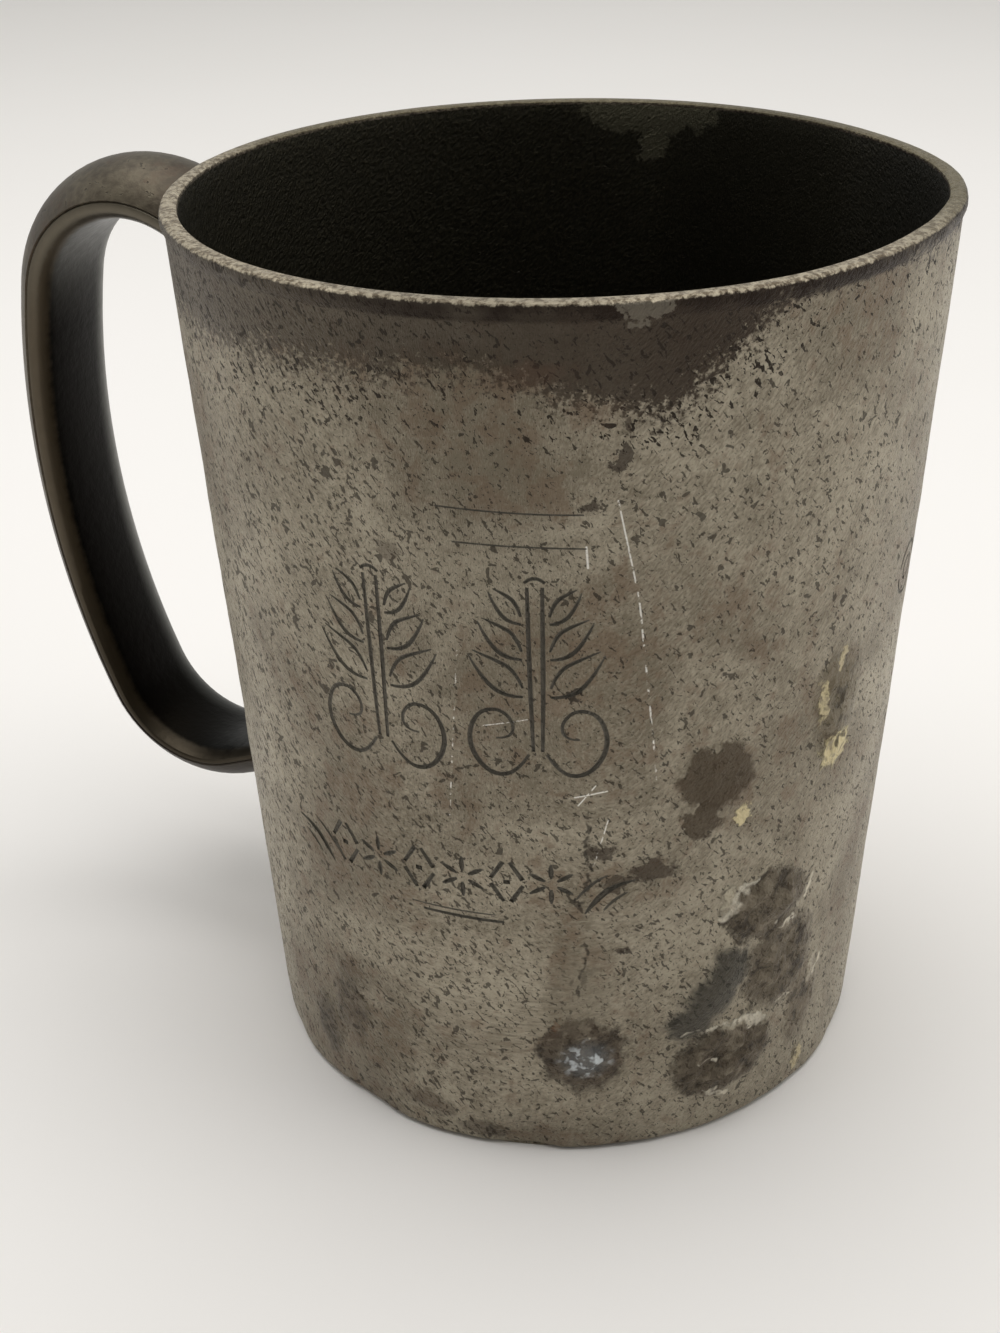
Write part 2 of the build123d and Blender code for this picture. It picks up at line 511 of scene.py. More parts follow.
def ageDrum(piece, wear):
    def outside(radius, height):
        return radius > wallRadius(height) - wear["skinDepth"]

    for name, (angle, level, halfAcross, halfUp, lean, lift, grain, rough) in lumpValues.items():
        def near(turn, radius, height):
            if not outside(radius, height):
                return 0.0
            leaning = radians(lean)
            across, up = radians(turnBetween(turn, angle)) * radius, height - level
            side = across * cos(leaning) + up * sin(leaning)
            along = up * cos(leaning) - across * sin(leaning)
            return easeOff(sqrt((side / halfAcross) ** 2 + (along / halfUp) ** 2))

        weigh(piece, name, near)
        push(piece, name, lift * (1 - rough * wear["smoothLoss"]))
        push(piece, name, lift * rough * wear["roughGain"], grain=grain)

    def knockIn(knocks, level, touched):
        for name, (angle, halfRound, halfUp, inward) in knocks.items():
            weigh(piece, name, lambda turn, radius, height: touched(radius, height)
                  * easeOff(turnBetween(turn, angle) / halfRound) * easeOff((height - level) / halfUp))
            push(piece, name, -inward * cos(radians(angle)), "X")
            push(piece, name, -inward * sin(radians(angle)), "Y")

    knockIn(mouthValues, wallValues["height"], lambda radius, height: True)
    knockIn(footValues, 0.0, outside)

    middle, reach, edge = wear["waves"]
    weigh(piece, "wholeWall", lambda turn, radius, height: outside(radius, height)
          * easeOff((height - middle) / reach) ** edge)
    push(piece, "wholeWall", **wear["broadWaves"])
    push(piece, "wholeWall", **wear["smallWaves"])
    lipRadius, lipLow, lipHigh = wear["lipFrom"]
    weigh(piece, "lipEdge", lambda turn, radius, height: float(
        radius > lipRadius and lipLow < height < lipHigh))
    push(piece, "lipEdge", **wear["lipNicks"])
    footRadius, footHigh = wear["footFrom"]
    weigh(piece, "footEdge", lambda turn, radius, height: easeOff(height / footHigh) * (radius > footRadius))
    push(piece, "footEdge", **wear["footDents"])
    applyModifiers(piece)


ageDrum(drum, wearValues)
print("drum aged")


# Cut ornament: two leaf sprigs, a row of small motifs, gouges, a punched ring and ruled lines.
# A stroke is a list of places across and up, in millimetres, each with its share of the width.
engravingValues = {
    "radius": 0.29,             # of the graver's round edge
    "deeper": 1.2,              # how much wider it is in the row and the gouges
    "ruled": 0.42,              # and how much narrower in the ruled lines
    "proud": 0.07,              # how far its middle stays outside the wall
    "sprigs": [(-92.6, 69.8), (-68.6, 70.4)],
    "row": [-103, -96, -88.6, -81.2, -74, -67],
    "rowHeight": 43.4,
    "leftGouges": (-109.5, 42),
    "rightGouges": (-58.5, 41.6),
    "underlines": (-81.5, 37.4),
    "rings": (6, 69.9),
}


def mirrored(points):
    return [(-x, y, share) for x, y, share in points]


sprigStrokes = [
    [(-0.8, 12, 0.8), (-0.75, 6, 1), (-0.7, -1, 1.1), (-0.5, -8.6, 0.8)],
    [(0.8, 12, 0.8), (0.75, 6, 1), (0.7, -1, 1.1), (0.5, -8.6, 0.8)],
    [(-1.1, 12.5, 0.7), (0, 13.6, 1), (1.1, 12.5, 0.7)],
]
for stroke in (
    [(1, -9, 0.7), (2.6, -11.9, 1), (5.8, -11.7, 1.2), (7.9, -8, 1.2), (6.9, -3.9, 1), (4.2, -3, 0.9),
     (2.5, -4.9, 0.8), (3, -7, 0.7), (4.6, -7, 0.5)],
    [(1.5, -1.5, 0.6), (3.6, -1.6, 1.1), (6, 0.7, 1), (7.4, 3.6, 0.4)],
    [(1.5, -0.4, 0.6), (2.3, 1.9, 1), (4.7, 3.2, 0.9), (6.9, 4.1, 0.4)],
    [(1.5, 3.2, 0.6), (3.2, 3.2, 1.1), (5.1, 5.2, 1), (6.2, 7.7, 0.4)],
    [(1.5, 4.2, 0.6), (2.1, 6.3, 1), (3.9, 7.4, 0.9), (5.7, 8.1, 0.4)],
    [(1.5, 7.6, 0.6), (2.8, 7.7, 1), (4.2, 9.4, 0.9), (4.9, 11.3, 0.4)],
    [(1.5, 8.5, 0.6), (1.9, 10.1, 1), (3.1, 11.1, 0.9), (4.4, 11.7, 0.4)],
):
    sprigStrokes += [stroke, mirrored(stroke)]

lozengeStrokes = [
    [(-1.9, 0.4, 0.8), (-0.4, 2.9, 1)], [(0.4, 2.9, 0.8), (1.9, 0.4, 1)],
    [(1.9, -0.4, 0.8), (0.4, -2.9, 1)], [(-0.4, -2.9, 0.8), (-1.9, -0.4, 1)],
    [(-0.4, 0, 1), (0.4, 0, 1)],
]


def around(*places):
    # places given by their reach, turn and width instead
    return [(reach * cos(radians(turn)), reach * sin(radians(turn)), share) for reach, turn, share in places]


petalStrokes = [around((0.8, turn, 0.5), (1.8, turn, 1.6), (2.9, turn, 0.4)) for turn in range(30, 390, 60)]
gougeStrokes = [
    [(-3.6, 1.9, 0.3), (-1, 1.5, 1.2), (1.2, -0.6, 1.5), (2.4, -2.6, 0.4)],
    [(-2.6, 0.2, 0.3), (-1, -0.4, 1.1), (0.2, -2.2, 0.4)],
    [(-0.2, 2.9, 0.3), (1.6, 2.2, 1.1), (3.4, -0.4, 0.4)],
]
ringStrokes = [
    around(*((reach, start + turn, 0.9) for turn in range(0, 161, 20)))
    for reach, start in ((3.3, 4), (3.3, 188), (1.5, 96), (1.5, 280))
]
underStrokes = [
    [(-5, 0.1, 0.7), (0, 0, 1), (5, -0.1, 0.8)],
    [(-6.4, 0.9, 0.4), (0, 0.8, 0.6), (4, 0.85, 0.4)],
]
# The ruled lines are given by their places on the wall: degrees round, millimetres up.
ruledValues = {
    "upperRule": [(-81.9, 91.1), (-72, 90.8), (-61.9, 90.6)],
    "lowerRule": [(-79.7, 87.2), (-70, 87.1), (-61.6, 86.8)],
}


def halfWay(here, there):
    return [(a + b) / 2 for a, b in zip(here, there)]


def softened(points, cuts=5):
    # the same stroke with its corners rounded, in short steps so that it follows the wall
    if len(points) == 2:
        points = [points[0], halfWay(*points), points[1]]
    joints = [points[0], *map(halfWay, points[1:-2], points[2:-1]), points[-1]]
    dense = []
    for start, corner, end in zip(joints, points[1:-1], joints[1:]):
        for step in range(cuts):
            t = step / cuts
            dense.append([(1 - t) ** 2 * a + 2 * t * (1 - t) * b + t * t * c
                          for a, b, c in zip(start, corner, end)])
    return [*dense, points[-1]]


def cutStroke(name, points, middle, width):
    angle, height = middle
    curve = bpy.data.curves.new(name, "CURVE")
    curve.dimensions = "3D"
    curve.bevel_depth = width * mm
    curve.bevel_resolution = 1
    curve.use_fill_caps = True
    line = curve.splines.new("POLY")
    places = softened(points)
    line.points.add(len(places) - 1)
    for point, (across, up, share) in zip(line.points, places):
        level = height + up
        turn = angle + degrees(across / wallRadius(level))
        _, found, outwards, _ = drum.closest_point_on_mesh(onWall(turn, level))
        point.co = (*(found + outwards * engravingValues["proud"] * mm), 1)
        point.radius = share
    piece = bpy.data.objects.new(name, curve)
    gravers.objects.link(piece)
    makeActive(piece)
    bpy.ops.object.convert(target="MESH")
    inEdit(piece, closeSeams)


gravers = bpy.data.collections.new("gravers")
scene.collection.children.link(gravers)


def placeGravers(values):
    width = values["radius"]
    deeper = width * values["deeper"]
    for place in values["sprigs"]:
        for stroke in sprigStrokes:
            cutStroke("sprigCut", stroke, place, width)
    for count, turn in enumerate(values["row"]):
        for stroke in (petalStrokes if count % 2 else lozengeStrokes):
            cutStroke("rowCut", stroke, (turn, values["rowHeight"]), deeper)
    for stroke in gougeStrokes:
        cutStroke("gougeCut", stroke, values["leftGouges"], deeper)
        cutStroke("gougeCut", mirrored(stroke), values["rightGouges"], deeper)
    for stroke in underStrokes:
        cutStroke("underCut", stroke, values["underlines"], width)
    for stroke in ringStrokes:
        cutStroke("ringCut", stroke, values["rings"], width)
    for name, places in ruledValues.items():
        middle = places[len(places) // 2]
        stroke = [(radians(turn - middle[0]) * wallRadius(up), up - middle[1], values["ruled"])
                  for turn, up in places]
        cutStroke(name, stroke, middle, width)


def markFaces(piece, name, marks):
    piece.data.attributes.new(name, "FLOAT", "FACE")
    piece.data.attributes[name].data.foreach_set("value", [float(mark) for mark in marks])


def engrave(piece):
    # cuts the strokes, and marks the faces of the grooves and those of the wall's inside
    grooves = bpy.data.materials.new("grooveMark")
    for graver in gravers.objects:
        graver.data.materials.append(grooves)
    piece.data.materials.append(bpy.data.materials.new("wallMark"))
    cut = piece.modifiers.new("engraving", "BOOLEAN")
    cut.operand_type = "COLLECTION"
    cut.collection = gravers
    cut.operation = "DIFFERENCE"
    cut.solver = "MANIFOLD"
    cut.material_mode = "TRANSFER"
    applyModifiers(piece)
    names = [material.name if material else "" for material in piece.data.materials]
    inGroove = [names[face.material_index] == "grooveMark" for face in piece.data.polygons]
    low, high = drumValues["insideLevels"]
    facesAxis = [face.normal.xy.dot(face.center.xy) < 0 and low < face.center.z / mm < high
                 for face in piece.data.polygons]
    markFaces(piece, "groove", inGroove)
    markFaces(piece, "inside", [inner and not groove for inner, groove in zip(facesAxis, inGroove)])
    for face in piece.data.polygons:
        face.material_index = 0
    piece.data.materials.clear()
    for graver in list(gravers.objects):
        bpy.data.objects.remove(graver)
    bpy.data.collections.remove(gravers)
    return sum(inGroove)


placeGravers(engravingValues)
print("engraving cut,", engrave(drum), "faces in the grooves,", len(drum.data.polygons), "in all")


# A colour that is laid over others has its strength beside it.
drumFinish = {
    "metallic": 0.72,
    "skin": dict(Pale=(177, 168, 149), Dark=(123, 114, 97), Warm=(108, 88, 69), Mottle=0.45),
    # the grain leans one way on the handle's side and the other way opposite
    "toRight": (-6, 26),
    "leftLean": (0.012, 0.68),
    "rightLean": (-0.014, 0.7),
    "peel": dict(scale=2.7, detail=3, rough=0.62),
    "fray": dict(scale=1.5, detail=3, rough=0.65),
    "stray": {"Scale": 0.36, "Detail": 2, "Roughness": 0.6},
    "strayReach": 4,
    "edgeFray": 2.4,            # of the stains' edges, in millimetres
    # pits: noise waves in a millimetre, the level that they rise above, softness and strength
    "pit": ((42, 36, 29), 0.85),
    "finePits": (1.7, 0.592, 0.025, 0.85),
    "widePits": (0.62, 0.645, 0.02, 0.8),
    "specks": (3.4, 0.64, 0.03, 0.7),
    "crowding": dict(toRight=0.02, clouds=-0.14),
    # the band under the lip: how ragged its edge is, where it steps, and its strength along x
    "band": ((58, 47, 37), 1),
    "bandRagged": dict(clouds=9, fray=15, pits=6),
    "bandSteps": [(10, 22, 2), (27, 39, -9)],
    "bandLevels": (102.2, 105.6),
    "bandShare": (5, 34, 0.74, 0.96),
    # crusts of corrosion: where they are knotty, a painted highlight on their crests and painted shade in their
    # hollows
    "crustLevels": (46, 38),
    "crustToRight": (36, 40),
    "knots": dict(scale=0.45, detail=3, rough=0.56, warp=0.4),
    "crest": ((140, 130, 113), 1),
    "crestFade": (0.53, 0.66),
    "hollow": ((58, 51, 43), 1),
    "hollowFade": (0.47, 0.35),
    "slate": [(54, 51, 45), (72, 69, 62)],
    "slateFade": (0.4, 0.64),
    "slateEdge": (0.5, 1.2),    # softness and fray
    "slateStrength": 0.88,
    # a painted highlight along the ridges of the blisters
    "ridge": ((232, 224, 206), 0.75),
    "rubbed": ((-61.6, 16.2), 4.4, 0.7, 0, (1, 0.9)),   # place, reach, softness, fray, stretch
    "rubbedGrey": ((126, 129, 130), 0.6),
    # silvery streaks on the rubbed blister: rubbed metal with a painted sheen
    "rubbedSilver": ((220, 225, 227), 1),
    "streaks": (0.7, 2),
    "streakFade": (0.5, 0.62),
    "gaps": dict(scale=0.8, detail=4, rough=0.7),
    "hairline": ((42, 36, 29), 0.75),
    "bright": ((246, 243, 236), 0.85),
    "groove": ((98, 94, 86), 0.92),
    # the lip: its side, a chipped patch, and the land, worn pale and dark in patches, and darker towards the
    # back
    "lipRagged": 0.7,
    "lipSide": ((38, 27, 18), 1),
    "lipSideLevels": (110.7, 111.4),
    "lipSideShare": (-14, 10, 0.35, 1),
    "lipPatches": (0.16, 2),
    "lipPatchFade": (0.36, 0.56, 0.45, 0.95),
    "chip": ((114, 107, 95), 0.8),
    "chipAt": ((-54.2, 112.4), 2.1, 0.15),
    "chipStretch": (1.2, 1),
    "lipLevels": (112.62, 112.85),
    "lipPale": (178, 167, 146),
    "lipDark": (110, 98, 80),
    "lipFade": (0.38, 0.6),
    "lipBack": ((92, 84, 60), 1),
    "lipBackShare": (-14, 14, 0, 0.8),
    "inside": (36, 33, 22),
    "insideGrain": (52, 48, 34),
    "insideFade": (0.4, 0.7),
    "insidePale": ((84, 80, 64), 1),
    "insidePatches": [((98, 111.4), (2.5, 0.8), 4), ((97, 107.4), (0.8, 1.2), 2.6)],
    "insidePatchSoft": 0.2,
    # painted shade on the right part of the inner wall
    "insideFar": ((16, 14, 8), 1),
    "insideFarShare": (16, 36, 0, 0.6),
    "leastRough": 0.26,
    "rough": dict(peel=0.3, pits=0.2, lumps=0.08),
    "relief": dict(peel=0.32, pits=-0.09, fray=0.08, stained=0.8, knots=1.3, ridges=0.25),
}
# Stains: place (degrees round, millimetres up), stretch across and up, radius, softness, strength, and colour.
stainValues = [
    ((-41, 56), (1, 0.85), 5.6, 0.2, 0.85, (86, 74, 59)),  # brown patch and its lobe
    ((-43.4, 50), (0.9, 0.9), 3, 0.2, 0.85, (84, 72, 57)),
    ((-36.4, 49.6), (0.9, 1.1), 1.6, 0.3, 0.9, (228, 214, 172)),
    ((-62, 16.7), (1, 1.05), 6.2, 0.22, 0.75, (76, 63, 51)),  # round blister
    ((-24.6, 24), (1.1, 1.3), 6.4, 0.3, 0.75, (84, 73, 59)),  # brown blisters
    ((-29.2, 34.3), (1.3, 1), 5.4, 0.2, 0.75, (86, 75, 61)),
    ((-36, 11.8), (1.35, 1), 6.2, 0.2, 0.8, (82, 71, 58)),
    ((-17, 13.9), (0.8, 1.5), 5, 0.5, 0.65, (94, 81, 66)),
    ((-16.8, 60.5), (1.2, 1.7), 4.6, 0.5, 0.65, (104, 94, 74)),  # yellow crust near the right edge
    ((-21.2, 60.6), (0.6, 1.5), 2, 0.3, 0.8, (224, 210, 170)),
    ((-16.4, 52.9), (1.2, 0.9), 2.8, 0.3, 0.8, (230, 216, 172)),
    ((-16.9, 66), (0.5, 1.4), 1.5, 0.35, 0.75, (210, 196, 160)),
    ((-16.2, 3.9), (0.8, 1.2), 1.9, 0.35, 0.8, (216, 202, 166)),
    # the next three: painted highlights on the ridges of the blisters
    ((-37.3, 37.6), (0.5, 1.3), 2, 0.5, 0.75, (196, 187, 166)),  # pale ridges of the blisters
    ((-33.9, 16.8), (1.8, 0.5), 2.2, 0.5, 0.7, (200, 191, 170)),
    ((-15.1, 18.9), (0.6, 1.2), 2.2, 0.5, 0.7, (200, 191, 172)),
    ((-57, 96.7), (0.7, 1.2), 1.5, 0.15, 0.75, (62, 52, 44)),  # brown spots
    ((-56.6, 99.8), (0.8, 0.8), 0.9, 0.2, 0.7, (60, 48, 38)),
    ((-60.5, 91.7), (1.2, 0.8), 1.2, 0.2, 0.75, (66, 56, 47)),
    ((-63.2, 69.6), (1.1, 1), 1, 0.2, 0.8, (52, 45, 38)),
    ((-89.8, 85.2), (1.2, 0.8), 1.7, 0.5, 0.45, (76, 64, 52)),
    ((-59.6, 47.6), (1.2, 0.9), 1.8, 0.25, 0.75, (64, 53, 44)),
    ((-50.8, 44.6), (1.3, 0.9), 2.2, 0.25, 0.75, (72, 60, 49)),
    ((-56.8, 43.4), (1.7, 0.6), 1.8, 0.25, 0.7, (72, 60, 49)),
    ((-56, 33), (1, 0.9), 0.9, 0.25, 0.7, (74, 61, 50)),
    ((-107.2, 16.7), (0.8, 1.6), 5.5, 0.6, 0.55, (74, 64, 53)),
    ((-114.8, 9.8), (0.8, 1.3), 5.5, 0.6, 0.55, (72, 62, 52)),
    ((-68.5, 105.6), (1.9, 0.6), 3, 0.8, 0.28, (98, 70, 54)),  # reddish bloom
    ((-60, 101.5), (1.4, 0.8), 2.6, 0.8, 0.2, (104, 78, 60)),
    ((-66, 21.5), (0.5, 1.2), 1.2, 0.5, 0.5, (112, 74, 46)),
    ((-62.5, 28), (0.8, 1.5), 6, 0.9, 0.45, (158, 149, 130)),
    ((-91, 5.2), (1.6, 0.8), 3, 0.6, 0.55, (86, 68, 54)),
    ((-80, 2.6), (1.8, 0.6), 2.6, 0.5, 0.5, (82, 70, 58)),
    ((58, 30), (1.2, 1), 5.2, 0.25, 0.8, (82, 68, 54)),
    ((30, 78), (1.2, 0.8), 4, 0.5, 0.6, (84, 70, 56)),
    ((104, 62), (0.8, 1.4), 6, 0.6, 0.5, (80, 66, 54)),
    ((138, 15), (1.4, 0.9), 5.4, 0.3, 0.75, (78, 64, 52)),
]
# The slate-grey bump: places along its length and how far it reaches from each.
slateValues = [((-36.6, 26.6), 4.4), ((-39.9, 23.2), 5.0), ((-43.4, 19.6), 4.3)]
# Pale ridges of the blisters, a painted highlight with a little relief, given as the scratches below are.
ridgeValues = [
    ((-37.7, 34.8), (-35.3, 38.1), 0.8, 0.3), ((-35.3, 38.1), (-32.2, 38.8), 0.7, 0.3),
    ((-26.9, 30.6), (-22.9, 30), 0.6, 0.42), ((-44, 17.9), (-37.5, 17.4), 0.7, 0.36),
    ((-36.8, 18), (-28.9, 15.8), 0.9, 0.34), ((-39.7, 7.4), (-35.2, 5.1), 0.6, 0.4),
    ((-41.1, 12.8), (-37.4, 12.1), 0.5, 0.42), ((-13.4, 17.4), (-12.2, 19.6), 0.6, 0.36),
    ((-20.4, 17.3), (-24.7, 17.2), 0.6, 0.42), ((-19.4, 32.4), (-19, 35.4), 0.6, 0.36),
    ((-64.6, 18), (-60.6, 18.8), 0.5, 0.42),
]
# Scratches: from and to (degrees round, millimetres up), width, and how broken they are.
scratchValues = [
    ((-57.4, 92), (-54.4, 80.6), 0.13, 0.44), ((-54.4, 80.6), (-51, 57.3), 0.15, 0.5),
    ((-61.6, 87), (-61.4, 84.6), 0.16, 0.36), ((-79.6, 75.5), (-82.6, 52), 0.12, 0.52),
    ((-64, 55.6), (-58.5, 56.4), 0.14, 0.4), ((-62.8, 54.6), (-60.2, 57.2), 0.12, 0.4),
    ((-57.6, 54.4), (-60.4, 46), 0.12, 0.5), ((-78, 64.6), (-70, 66), 0.1, 0.5),
    ((40, 84), (52, 60), 0.14, 0.46), ((120, 92), (104, 70), 0.14, 0.46),
]
# Dark hairlines, given the same way.
hairlineValues = [
    ((-109, 101.5), (-104.4, 97.6), 0.13, 0.34), ((-91, 96.6), (-86.4, 95.2), 0.12, 0.3),
    ((-86.4, 95.2), (-81.6, 97.2), 0.12, 0.3), ((-104, 93.2), (-97, 93), 0.11, 0.46),
    ((-100.6, 89.4), (-92, 89.6), 0.12, 0.46), ((-22.4, 62), (-22, 58.4), 0.18, 0.3),
    ((-60.6, 25.6), (-51.6, 14.4), 0.1, 0.48), ((-48, 12.6), (-56, 12), 0.13, 0.4),
    ((-100, 40), (-93.4, 38.6), 0.13, 0.44), ((-26, 104), (-8, 86), 0.1, 0.52),
    ((-61.6, 54.6), (-62.4, 24.6), 0.4, 0.34),
]


def slanted(place, turn, draw):
    # turns a place with its height and squeezes it, so that a pattern is drawn out along a slant round the wall
    tree = treeOf(place)
    height = put(tree, "SeparateXYZ", place).outputs[2]
    turned = put(tree, "VectorRotate", {"Vector": place, "Angle": times(height, turn)}, rotation_type="Z_AXIS")
    return vectors("MULTIPLY", turned, (1.0, 1.0, draw)).outputs[0]


def spotMask(where, at, reach, soft, fray, stretch=(1.0, 1.0)):
    return useGroup(spotGroup, Place=where, Centre=unrolled(*at), Stretch=(*stretch, 1.0), Radius=reach,
                    Soft=soft, Fray=fray)["Mask"]


def lineMask(lines, where, gaps):
    return strongest(*(
        useGroup(scratchGroup, Place=where, From=unrolled(*start), To=unrolled(*end), Width=width,
                 Broken=broken, Gaps=gaps)["Mask"]
        for start, end, width, broken in lines
    ))


def bandMask(values, x, z, clouds, fray, pits):
    # the dark band under the lip, its lower edge eaten away
    edge = total(z, weighted(values["bandRagged"], clouds=centred(clouds), fray=centred(fray), pits=pits))
    for start, end, rise in values["bandSteps"]:
        edge = total(edge, times(fade(x, start, end), rise))
    return times(fade(edge, *values["bandLevels"]), fade(x, *values["bandShare"]))


def paintLip(values, colour, place, strayed, fray, frayed):
    x, y, z = put(treeOf(place), "SeparateXYZ", place).outputs[:3]
    level = total(z, centred(fray, values["lipRagged"]))
    patchy = fade(noise(place, *values["lipPatches"]), *values["lipPatchFade"])
    side = fade(level, *values["lipSideLevels"]), patchy, fade(x, *values["lipSideShare"])
    chip = spotMask(strayed, *values["chipAt"], frayed, values["chipStretch"])
    colour = layered(colour, values, lipSide=side, chip=[chip])
    land = paint(values["lipDark"], values["lipPale"], fade(fray, *values["lipFade"]))
    land = layered(land, values, lipBack=[fade(y, *values["lipBackShare"])])
    return paint(colour, land, fade(level, *values["lipLevels"]))


def paintInside(values, colour, x, peel, strayed, frayed):
    lining = paint(values["inside"], values["insideGrain"], fade(peel, *values["insideFade"]))
    patches = strongest(*(spotMask(strayed, at, reach, values["insidePatchSoft"], frayed, stretch)
                          for at, stretch, reach in values["insidePatches"]))
    # the right part of the inner wall darkened: painted shade
    far = fade(x, *values["insideFarShare"])
    lining = layered(lining, values, insidePale=[patches], insideFar=[far])
    within = put(treeOf(x), "Attribute", attribute_name="inside").outputs["Fac"]
    return paint(colour, lining, within)


def makeDrumPewter(values):
    made, tree, shader, place = newMaterial("drumPewter")
    x, y, z = put(tree, "SeparateXYZ", place).outputs[:3]
    flat = put(tree, "CombineXYZ", times(sums("ARCTAN2", y, x), wallValues["middleRadius"]), z, 0.0)
    toRight = fade(x, *values["toRight"])

    # the flattened place strays by a few millimetres, which makes the marks ragged
    stray = put(tree, "TexNoise", {"Vector": place, **values["stray"]}).outputs[1]
    stray = vectors("SUBTRACT", stray, (0.5, 0.5, 0.5))
    strayed = vectors("ADD", flat, vectors("SCALE", stray, {"Scale": values["strayReach"]}))

    leftPlace = slanted(place, *values["leftLean"])
    grainPlace = put(tree, "Mix", {"Factor": toRight}, data_type="VECTOR")
    feed(leftPlace, grainPlace.inputs[4])
    feed(slanted(place, *values["rightLean"]), grainPlace.inputs[5])
    peel = noise(grainPlace.outputs[1], **values["peel"])
    fray = noise(place, **values["fray"])
    frayed = centred(fray, values["edgeFray"])

    skin = useGroup(skinGroup, Place=place, Grain=peel, **values["skin"])
    clouds = skin["Clouds"]
    crowd = weighted(values["crowding"], toRight=toRight, clouds=centred(clouds))
    pits = strongest(
        pitMask(leftPlace, *values["finePits"], crowd),
        pitMask(place, *values["widePits"], crowd),
        pitMask(place, *values["specks"]),
    )
    band = bandMask(values, x, z, clouds, fray, pits)
    colour = layered(skin["Color"], values, band=[band], pit=[pits])

    stains = []
    for at, stretch, reach, soft, strength, tint in stainValues:
        stains.append(times(spotMask(strayed, at, reach, soft, frayed, stretch), strength))
        colour = paint(colour, tint, stains[-1])
    lumps = strongest(*stains)
    crusts = times(lumps, strongest(fade(z, *values["crustLevels"]), fade(x, *values["crustToRight"])))
    knots = noise(place, **values["knots"])
    # a painted highlight on the crusts' crests and painted shade in their hollows
    colour = layered(colour, values, crest=[crusts, fade(knots, *values["crestFade"])],
                     hollow=[crusts, fade(knots, *values["hollowFade"])])
    soft, ragged = values["slateEdge"]
    slate = strongest(*(spotMask(strayed, at, reach, soft, centred(fray, ragged)) for at, reach in slateValues))
    tone = paint(*values["slate"], fade(fray, *values["slateFade"]))
    colour = paint(colour, tone, slate, values["slateStrength"])

    gaps = noise(place, **values["gaps"])
    # the ridges of the blisters: a painted highlight, and a little relief in the bump
    ridges = lineMask(ridgeValues, strayed, gaps)
    # the round blister has been rubbed grey, and silvery in streaks, rubbed metal with a painted sheen on it
    rubbed = spotMask(flat, *values["rubbed"])
    colour = layered(
        colour, values,
        ridge=[ridges],
        rubbedGrey=[rubbed],
        rubbedSilver=[rubbed, fade(noise(place, *values["streaks"]), *values["streakFade"])],
        hairline=[lineMask(hairlineValues, strayed, gaps)],
        bright=[lineMask(scratchValues, flat, gaps)],
    )
    colour = paintLip(values, colour, place, strayed, fray, frayed)
    grooves = put(tree, "Attribute", attribute_name="groove").outputs["Fac"]
    colour = layered(colour, values, groove=[grooves])
    colour = paintInside(values, colour, x, peel, strayed, frayed)

    finishShader(shader, values, colour, peel=peel, pits=pits, lumps=lumps, fray=fray, ridges=ridges,
                 stained=times(fray, lumps), knots=times(crusts, knots))
    return made


def smoothen(piece, angle):
    makeActive(piece)
    bpy.ops.object.shade_smooth_by_angle(angle=radians(angle))


drum.data.materials.append(makeDrumPewter(drumFinish))
smoothen(drum, drumValues["smoothUnder"])
finishPiece(drum, "agedDrum", "drum_pewter", "drum")
print("drum finished")


# The handle: each half is drawn as a straight bar and then bent along the seam between them.
handleValues = {
    "root": (-45.13, 102.2),    # where the seam leaves the wall, across and up
    "heading": 155.5,           # degrees, the way it leaves
    "within": 4,                # how far the bars start and end inside the wall
    # straight runs with their length and no angle, and bends with their radius and angle
    "runs": [(7.6, 0), (16.9, 102.1), (103.46, 35), (14.1, 89.8), (10.9, 0)],
    "halfWidth": 7.75,
    "crown": 4.49,
    "groove": 0.22,
    "domeSteps": 14,            # from its crown to each side
    "channel": [(-6.25, 0), (-3.25, 3), (3.25, 3)],
    "channelEdge": 6.25,
    "topThickness": 3.4,
    "footThickness": 1.6,
    "endBay": 5.4,              # length of the first and last stretch, which the trimming moves
    "cuts": 118,                # across the long stretch between them
    "buried": 0.9,              # how deep the trimmed ends reach into the wall
    "seamSteps": 64,            # on each run of the seam
    "backSmoothUnder": 32,
    "fingerSmoothUnder": 28,
}


def headingVector(turn):
    return Vector((cos(radians(turn)), 0, sin(radians(turn))))


def drawSeam(values):
    # the seam as a curve, with its length and its stops: place, heading, and the arms of its Bezier handles
    turn = values["heading"]
    root = Vector((values["root"][0], 0, values["root"][1]))
    stops = [[root - headingVector(turn) * values["within"], turn, 0, 0]]
    length = 0
    for size, bend in values["runs"]:
        here, turn = stops[-1][:2]
        if not bend:
            size += values["within"]
            there, arm = here + headingVector(turn) * size, size / 3
            length += size
        else:
            middle = here + headingVector(turn + 90) * size
            there, arm = middle - headingVector(turn + bend + 90) * size, 4 / 3 * tan(radians(bend) / 4) * size
            length += radians(bend) * size
        stops[-1][3] = arm
        stops.append([there, turn + bend, arm, 0])
    curve = bpy.data.curves.new("seam", "CURVE")
    curve.dimensions = "3D"
    curve.twist_mode = "MINIMUM"
    curve.resolution_u = values["seamSteps"]
    line = curve.splines.new("BEZIER")
    line.bezier_points.add(len(stops) - 1)
    for point, (here, turn, armIn, armOut) in zip(line.bezier_points, stops):
        point.handle_left_type = point.handle_right_type = "FREE"
        point.co = here * mm
        point.handle_left = (here - headingVector(turn) * armIn) * mm
        point.handle_right = (here + headingVector(turn) * armOut) * mm
    seam = bpy.data.objects.new("seam", curve)
    scene.collection.objects.link(seam)
    return seam, length, stops


